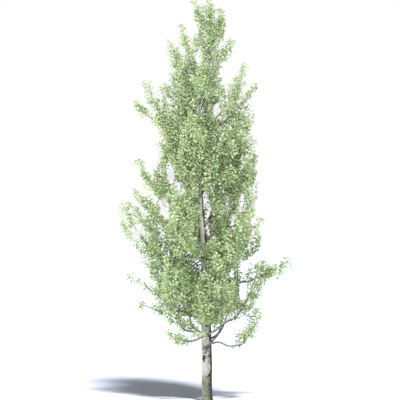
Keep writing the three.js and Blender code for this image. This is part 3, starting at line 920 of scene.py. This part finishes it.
def bark_tubes(name, lines, radii, seed, material, sides, step):
    """Boughs or limbs as tubes with bark relief, about 7% of their radius: swellings, wrinkles across and
    a few pores. Their undersides are greyer and their tops paler: painted shade."""
    parts, marks, shades = [], [], []
    for number, (line, radius) in enumerate(zip(lines, radii)):
        length = np.linalg.norm(np.diff(line, axis=0), axis=1).sum()
        stations = max(8, int(length / step))
        known = np.linspace(0, 1, len(line))
        at = np.linspace(0, 1, stations)
        path = through(at, known, line)[None]
        thick = through(at, known, radius)
        turn, tall = np.meshgrid(np.arange(sides) / sides, at * length)
        _, first, second = side_frames(path[0])
        lift = first[:, 2:] * np.cos(turn * 2 * np.pi) + second[:, 2:] * np.sin(turn * 2 * np.pi)
        swelling = lattice_noise(turn * 3, tall * 6, 3, [seed, number, 1])
        wrinkle = lattice_noise(turn * 9, tall * 38, 9, [seed, number, 2])
        pore = np.clip(lattice_noise(turn * sides, tall * 50, sides, [seed, number, 3]) - 0.55, 0, 1) * 2
        relief = thick[:, None] * (0.07 * swelling + 0.035 * wrinkle + 0.03 * pore)
        places = tube_places(path, thick[None], sides, relief[None, ..., None])
        parts.append((places, *tube_faces(1, stations, sides)))
        marks.append(np.concatenate([pore.ravel(), [0, 0]]))
        # painted shade: greyer on the underside, paler on top, by which way each side of the tube faces
        shade = 0.45 + 0.3 * swelling + 0.3 * wrinkle - 0.4 * lift
        shades.append(np.concatenate([shade.ravel(), [0.5, 0.5]]))
    piece = new_piece(name, *joined(parts), [material])
    add_shares(piece, "mark", np.concatenate(marks))
    add_shares(piece, "shade", np.clip(np.concatenate(shades), 0, 1))
    return piece


# ---- Materials ----
def node(tree, kind, inputs=None, **values):
    """A new shader node with its settings and plain input values."""
    made = tree.nodes.new(kind)
    for key, value in values.items():
        setattr(made, key, value)
    for key, value in (inputs or {}).items():
        made.inputs[key].default_value = value
    return made


def colour_mix(tree, factor, first, second, mode="MIX"):
    """The colour output of a Mix node. Each argument is a socket or a plain value."""
    mix = node(tree, "ShaderNodeMix", data_type="RGBA", blend_type=mode)
    for index, value in ((0, factor), (6, first), (7, second)):
        if isinstance(value, bpy.types.NodeSocket):
            tree.links.new(value, mix.inputs[index])
        else:
            mix.inputs[index].default_value = (*value, 1) if index else value
    return mix.outputs[2]


def ramp(tree, source, low, high):
    """A straight rise from 0 at low to 1 at high."""
    made = node(tree, "ShaderNodeMapRange", {"From Min": low, "From Max": high})
    tree.links.new(source, made.inputs["Value"])
    return made.outputs["Result"]


def noise(tree, place, scale, detail, stretch=(1, 1, 1)):
    """The value of noise over object coordinates, stretched along the axes."""
    mapping = node(tree, "ShaderNodeMapping", {"Scale": stretch})
    made = node(tree, "ShaderNodeTexNoise", {"Scale": scale, "Detail": detail, "Roughness": 0.6})
    tree.links.new(place, mapping.inputs["Vector"])
    tree.links.new(mapping.outputs["Vector"], made.inputs["Vector"])
    return made.outputs["Fac"]


def bark_material(name, bark, pale, stem, grain_depth):
    """Bark: pale skin, which turns to the stem colour up in the crown, paler there partly as painted light,
    greyed by its shade attribute, which holds mottling and painted shade, olive near the ground, and dark
    in its marks."""
    material = bpy.data.materials.new(name)
    material.use_nodes = True
    tree = material.node_tree
    shader = tree.nodes["Principled BSDF"]
    place = node(tree, "ShaderNodeTexCoord").outputs["Object"]
    height = node(tree, "ShaderNodeSeparateXYZ")
    tree.links.new(place, height.inputs[0])
    # the shade attribute holds mottling and painted shade; it greys the skin and the rough bark
    shade = node(tree, "ShaderNodeAttribute", attribute_name="shade")
    pale = colour_mix(tree, ramp(tree, height.outputs["Z"], *STEM_HEIGHTS), pale, stem)
    skin = colour_mix(tree, ramp(tree, shade.outputs["Fac"], 0.3, 0.75), pale, bark.grey)
    streak = ramp(tree, noise(tree, place, 34, 3, (1, 1, 0.22)), 0.40, 0.72)
    skin = colour_mix(tree, streak, skin, (0.78, 0.78, 0.77), "MULTIPLY")
    wander = node(tree, "ShaderNodeMath", {1: 0.5}, operation="MULTIPLY_ADD")
    tree.links.new(noise(tree, place, 6, 3, (1, 1, 0.8)), wander.inputs[0])
    tree.links.new(height.outputs["Z"], wander.inputs[2])
    foot = ramp(tree, wander.outputs[0], OLIVE_HEIGHT + OLIVE_BLEND[1], OLIVE_HEIGHT + OLIVE_BLEND[0])
    crack = ramp(tree, noise(tree, place, 24, 4, (1, 1, 0.7)), 0.42, 0.62)
    rough = colour_mix(tree, crack, bark.olive, tuple(CRACK_DARKNESS * channel for channel in bark.olive))
    rough = colour_mix(tree, ramp(tree, shade.outputs["Fac"], 0.35, 1), rough, bark.grey)
    skin = colour_mix(tree, foot, skin, rough)
    marks = node(tree, "ShaderNodeAttribute", attribute_name="mark")
    skin = colour_mix(tree, marks.outputs["Fac"], skin, bark.scar)
    tree.links.new(skin, shader.inputs["Base Color"])
    grain = node(tree, "ShaderNodeBump", {"Strength": 0.5, "Distance": grain_depth})
    tree.links.new(noise(tree, place, 60, 5, (1, 1, 0.45)), grain.inputs["Height"])
    tree.links.new(grain.outputs["Normal"], shader.inputs["Normal"])
    shader.inputs["Roughness"].default_value = BARK_ROUGHNESS
    shader.inputs["Specular IOR Level"].default_value = BARK_GLOSS
    return material


def plain_material(name, colour, roughness, gloss=0.5):
    """A plain base colour, for leaves and twigs whose colours are dealt out by spray."""
    material = bpy.data.materials.new(name)
    material.use_nodes = True
    shader = material.node_tree.nodes["Principled BSDF"]
    shader.inputs["Base Color"].default_value = (*np.clip(colour, 0, 1), 1)
    shader.inputs["Roughness"].default_value = roughness
    shader.inputs["Specular IOR Level"].default_value = gloss
    return material


# ---- Leaves ----
# One leaf in its own lengths: across, along and up from the blade. A stalk runs up to 0 along. The blade's
# two rounded halves fold up from the midrib between them, and its short point droops.
LEAF_STALK = 0.5
LEAF_PLACES = np.array([
    (-0.018, -0.5, 0.0), (0.018, -0.5, 0.0), (0.0, 0.0, 0.0), (0.0, 1.05, -0.14),
    (0.33, 0.08, 0.09), (0.46, 0.42, 0.13), (0.26, 0.80, 0.02),
    (-0.33, 0.08, 0.09), (-0.46, 0.42, 0.13), (-0.26, 0.80, 0.02),
])
LEAF_CORNERS = np.array([0, 1, 2, 2, 4, 5, 6, 3, 2, 3, 9, 8, 7])
LEAF_SIZES = np.array([3, 5, 5])


def leaf_places(place, forward, outward, size, rng):
    """Every leaf's vertices: place + size (across x + along (y + stalk) + normal z). A leaf leaves its
    shoot outwards and a little forwards, bends over under its weight, and is rolled at random."""
    drop = rng.uniform(0.0, 0.5, (len(place), 1))
    along = unit(0.85 * outward + 0.55 * forward - drop * UP + 0.25 * rng.normal(size=place.shape))
    level = unit(np.cross(along, UP))
    roll = rng.normal(0, 0.55, (len(place), 1))
    across = level * np.cos(roll) + np.cross(along, level) * np.sin(roll)
    normal = np.cross(across, along)
    x, y, z = LEAF_PLACES.T[..., None]
    shape = across[:, None] * x + along[:, None] * (y + LEAF_STALK) + normal[:, None] * z
    return (place[:, None] + size[:, None, None] * shape).reshape(-1, 3)


def gaps(crown):
    """The crown's shoot spacing and spur gap, rounded so that each step asks for the same growth."""
    return round(crown.spacing, 5), round(crown.spur_gap, 5)


def growth(mass, crown):
    """What grew in a mass under the crown's settings."""
    return grown(mass, crown.seed, *gaps(crown))


def growth_between(crown):
    """What grew on the bare boughs, on the trunk, in the valleys between masses and on stray limbs."""
    spacing, spur_gap = gaps(crown)
    return {
        "on_boughs": bough_spurs(crown.seed, spur_gap),
        "on_trunk": trunk_shoots(crown.seed),
        "in_valleys": valley_shoots(crown.seed, spacing, spur_gap),
        "on_strays": stray_limbs(crown.seed, spacing, spur_gap)[1],
    }


def twig_piece(name, kinds, materials):
    """One piece of many twigs. kinds holds (paths, radii, sides, number of the material)."""
    parts, slots = [], []
    for paths, radii, sides, slot in kinds:
        if not len(paths):
            continue
        corners, sizes = tube_faces(len(paths), paths.shape[1], sides)
        parts.append((tube_places(paths, radii, sides), corners, sizes))
        slots.append(np.full(len(sizes), slot))
    piece = new_piece(name, *joined(parts), materials, np.concatenate(slots))
    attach(piece, "root")


def leaf_piece(name, kinds, leaf, tints, rng):
    """One piece of many leaves, whose tint is drawn for each spray. kinds holds (paths that bear leaves,
    the share of them that is bare). Leaves are left out in openings and outside the frame's box."""
    odds = np.cumsum([share for _, share, _ in LEAF_TINTS])
    places, slots = [], []
    for paths, bare in kinds:
        if not len(paths):
            continue
        seats = seats_along(paths, bare, leaf.spacing, rng)
        room = (np.abs(seats[1] - BOX_MIDDLE) < BOX_HALF - LEAF_ROOM).all(1)
        shoot, place, forward, outward, share = (part[room & ~in_opening(seats[1])] for part in seats)
        size = leaf.length * rng.uniform(*LEAF_SIZE_RANGE, len(shoot))
        size = size * (1 - LEAF_END_SHRINK * blend_step(share * 3 - 2))
        places.append(leaf_places(place, forward, outward, size, rng))
        spray_tint = np.searchsorted(odds, rng.random(len(paths)) * odds[-1])
        slots.append(np.repeat(spray_tint[shoot], len(LEAF_SIZES)))
    vertices = np.concatenate(places)
    leaves = len(vertices) // len(LEAF_PLACES)
    corners = np.arange(leaves)[:, None] * len(LEAF_PLACES) + LEAF_CORNERS
    piece = new_piece(
        name, vertices, corners.ravel(), np.tile(LEAF_SIZES, leaves), tints, np.concatenate(slots), False)
    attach(piece, "root")
    return piece


# ---- Operators ----
class FitTrunk(Operator):
    """Replaces the trunk by a surface with the bark's relief"""

    bl_idname = "poplar.fit_trunk"
    bl_label = "Trunk"

    def execute(self, context):
        bark = context.scene.poplar_bark
        places, marks, shade = trunk_surface(bark)
        rows = len(places)
        centre, _ = trunk_at(places[[0, -1], 0, 2])
        vertices = np.concatenate([places.reshape(-1, 3), centre])
        corners, sizes = tube_faces(1, rows, TRUNK_SIDES)
        material = bark_material("trunk_bark", bark, bark.pale, bark.stem, TRUNK_GRAIN)
        piece = new_piece("trunk_skin", vertices, corners, sizes, [material])
        add_shares(piece, "mark", np.concatenate([marks.ravel(), [0, 0]]))
        add_shares(piece, "shade", np.concatenate([shade.ravel(), [0, 0]]))
        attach(piece, "root")
        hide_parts("trunk")
        return {"FINISHED"}


class FitBoughs(Operator):
    """Replaces each bare bough by a tube with the bark's relief that starts inside the trunk"""

    bl_idname = "poplar.fit_boughs"
    bl_label = "Boughs"

    def execute(self, context):
        bark = context.scene.poplar_bark
        material = bark_material("bough_bark", bark, bark.limb, bark.limb, LIMB_GRAIN)
        for number, bough in enumerate(BOUGHS):
            line, radius = bough_line(bough)
            back = line[:1] - unit(line[1:2] - line[:1]) * BOUGH_BURY
            on = line[-1:] + unit(line[-1:] - line[-3:-2]) * BOUGH_RUN_ON
            line = np.concatenate([back, line, on])
            radius = np.concatenate([radius[:1] * BOUGH_SWELL, radius, radius[-1:] * BOUGH_THIN])
            piece = bark_tubes(bough + "_skin", [line], [radius], number, material, BOUGH_SIDES, BOUGH_STEP)
            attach(piece, "root")
            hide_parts(bough)
        return {"FINISHED"}


class GrowLimbs(Operator):
    """Grows the main limb or limbs of every mass of foliage, and the stray limbs between them"""

    bl_idname = "poplar.grow_limbs"
    bl_label = "Crown limbs"

    def execute(self, context):
        bark = context.scene.poplar_bark
        crown = context.scene.poplar_crown
        # above STEM_HEIGHTS the crown limbs take the stem bark too, partly painted light against the crown's
        # shade
        material = bark_material("limb_bark", bark, bark.limb, bark.stem, LIMB_GRAIN)
        kinds = [growth(mass, crown)[0] for mass in MASSES]
        kinds.append(stray_limbs(crown.seed, *gaps(crown))[0])
        lines, radii = (np.concatenate(part) for part in zip(*kinds))
        piece = bark_tubes("crown_limbs", lines, radii, 99, material, LIMB_SIDES, LIMB_STEP)
        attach(piece, "root")
        return {"FINISHED"}


class GrowTwigs(Operator):
    """Grows the branches, shoots and spurs of every mass of foliage, and the twigs between the masses"""

    bl_idname = "poplar.grow_twigs"
    bl_label = "Twigs"

    def execute(self, context):
        crown = context.scene.poplar_crown
        bark = [
            plain_material("branch_grey", crown.twig, 0.8),
            plain_material("shoot_brown", np.array(crown.twig) * (0.9, 0.92, 0.72), 0.75),
        ]
        for mass in MASSES:
            _, branches, shoots, spurs = growth(mass, crown)
            twig_piece("twigs_" + mass, [(*branches, 5, 0), (*shoots, 3, 1), (*spurs, 3, 1)], bark)
        between = growth_between(crown).items()
        kinds = [(*twigs, 4 if kind == "on_trunk" else 3, 1) for kind, twigs in between]
        twig_piece("twigs_between", kinds, bark)
        return {"FINISHED"}


class GrowLeaves(Operator):
    """Replaces each mass of foliage by the leaves on its twigs, and adds those between the masses"""

    bl_idname = "poplar.grow_leaves"
    bl_label = "Leaves"

    def execute(self, context):
        crown = context.scene.poplar_crown
        leaf = context.scene.poplar_leaf
        tints = [
            plain_material(name, np.array(leaf.green) * tint, leaf.roughness, LEAF_GLOSS)
            for name, _, tint in LEAF_TINTS
        ]
        for number, mass in enumerate(MASSES):
            rng = np.random.default_rng([crown.seed, 50, number])
            grown_here = zip(("branches", "shoots", "spurs"), growth(mass, crown)[1:])
            kinds = [(paths, BARE_SHARE[kind]) for kind, (paths, _) in grown_here]
            piece = leaf_piece("leaves_" + mass, kinds, leaf, tints, rng)
            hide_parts(mass)
        rng = np.random.default_rng([crown.seed, 51])
        kinds = [(paths, BARE_SHARE[kind]) for kind, (paths, _) in growth_between(crown).items()]
        leaf_piece("leaves_between", kinds, leaf, tints, rng)
        return {"FINISHED"}


class SetStage(Operator):
    """Lays the floor and sets the lights and the camera.

    The camera sees white all round, and the tree is lit by a dome that is brightest on its left. The floor
    has a sun of its own, which lays the crown's shadow behind the trunk."""

    bl_idname = "poplar.set_stage"
    bl_label = "Stage"

    def execute(self, context):
        stage = context.scene.poplar_stage
        scene = context.scene
        scene.view_settings.view_transform = "Standard"
        self.surround(scene, stage)
        low, high = (np.array(corner) for corner in CAD_BOX)
        reach = FLOOR_REACH * high[2]
        square = reach * np.array([(-1, -1, 0), (1, -1, 0), (1, 1, 0), (-1, 1, 0)])
        floor = new_piece(
            "floor", square + (low[2] - FLOOR_DROP) * UP, np.arange(4), np.array([4]),
            [plain_material("floor", FLOOR_COLOUR, 1)])
        floor.visible_diffuse = False
        self.lamp("key", stage.key, KEY_SOFTNESS, KEY_TRAVELS)
        ground_sun = self.lamp("ground_sun", stage.ground_sun, GROUND_SUN_SOFTNESS, GROUND_SUN_TRAVELS)
        floor_only = bpy.data.collections.new("floor_only")
        floor_only.objects.link(floor)
        ground_sun.light_linking.receiver_collection = floor_only

        lens = bpy.data.cameras.new("camera")
        camera = bpy.data.objects.new("camera", lens)
        back, up = math.cos(stage.elevation), math.sin(stage.elevation)
        camera.location = Vector(stage.aim) + stage.distance * Vector((0, -back, up))
        camera.rotation_euler = (math.pi / 2 - stage.elevation, 0, 0)
        lens.sensor_width = 36
        lens.lens = lens.sensor_width * stage.distance / stage.span
        lens.clip_end = 4 * reach
        scene.collection.objects.link(camera)
        scene.camera = camera
        return {"FINISHED"}

    def lamp(self, name, strength, angle, direction):
        """A sun whose light travels along direction, with soft edges of angle degrees."""
        light = bpy.data.lights.new(name, "SUN")
        light.energy = strength
        light.angle = math.radians(angle)
        made = bpy.data.objects.new(name, light)
        made.rotation_euler = Vector(direction).to_track_quat("-Z", "Y").to_euler()
        bpy.context.scene.collection.objects.link(made)
        return made

    def surround(self, scene, stage):
        """White surroundings, whose light on the tree falls off away from DOME_FACES."""
        world = bpy.data.worlds.new("surroundings")
        world.use_nodes = True
        tree = world.node_tree
        seen = tree.nodes["Background"]
        seen.inputs["Color"].default_value = (1, 1, 1, 1)
        seen.inputs["Strength"].default_value = 1
        dome = node(tree, "ShaderNodeBackground", {"Color": (1, 1, 1, 1)})
        towards = Vector(DOME_FACES).normalized()
        facing = node(tree, "ShaderNodeVectorMath", {1: towards}, operation="DOT_PRODUCT")
        tree.links.new(node(tree, "ShaderNodeTexCoord").outputs["Generated"], facing.inputs[0])
        fall = node(tree, "ShaderNodeMapRange", {
            "From Min": -0.45, "From Max": 1, "To Min": stage.dome_far, "To Max": stage.dome_near})
        tree.links.new(facing.outputs["Value"], fall.inputs["Value"])
        tree.links.new(fall.outputs["Result"], dome.inputs["Strength"])
        mix = node(tree, "ShaderNodeMixShader")
        tree.links.new(node(tree, "ShaderNodeLightPath").outputs["Is Camera Ray"], mix.inputs[0])
        tree.links.new(dome.outputs[0], mix.inputs[1])
        tree.links.new(seen.outputs[0], mix.inputs[2])
        tree.links.new(mix.outputs[0], tree.nodes["World Output"].inputs["Surface"])
        scene.world = world


class PoplarPanel(Panel):
    """Lists the tree's steps and settings"""

    bl_idname = "VIEW3D_PT_poplar"
    bl_label = "Poplar Tree"
    bl_space_type = "VIEW_3D"
    bl_region_type = "UI"
    bl_category = "Poplar"

    def draw(self, context):
        for step in STEPS:
            self.layout.operator(step.bl_idname)
        for name, settings in SETTINGS.items():
            box = self.layout.box()
            group = getattr(context.scene, name)
            for key in settings.__annotations__:
                box.prop(group, key)


SETTINGS = {
    "poplar_bark": BarkSettings,
    "poplar_crown": CrownSettings,
    "poplar_leaf": LeafSettings,
    "poplar_stage": StageSettings,
}
STEPS = (FitTrunk, FitBoughs, GrowLimbs, GrowTwigs, GrowLeaves, SetStage)


def register():
    """Registers the settings, the steps and the panel."""
    for name, settings in SETTINGS.items():
        bpy.utils.register_class(settings)
        setattr(bpy.types.Scene, name, PointerProperty(type=settings))
    for made in (*STEPS, PoplarPanel):
        bpy.utils.register_class(made)


def unregister():
    """Takes back what register made."""
    for made in (PoplarPanel, *reversed(STEPS)):
        bpy.utils.unregister_class(made)
    for name, settings in SETTINGS.items():
        delattr(bpy.types.Scene, name)
        bpy.utils.unregister_class(settings)


def main():
    """Registers the add-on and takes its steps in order."""
    register()
    bpy.ops.poplar.fit_trunk()
    bpy.ops.poplar.fit_boughs()
    bpy.ops.poplar.grow_limbs()
    bpy.ops.poplar.grow_twigs()
    bpy.ops.poplar.grow_leaves()
    bpy.ops.poplar.set_stage()


if __name__ == "__main__":
    main()
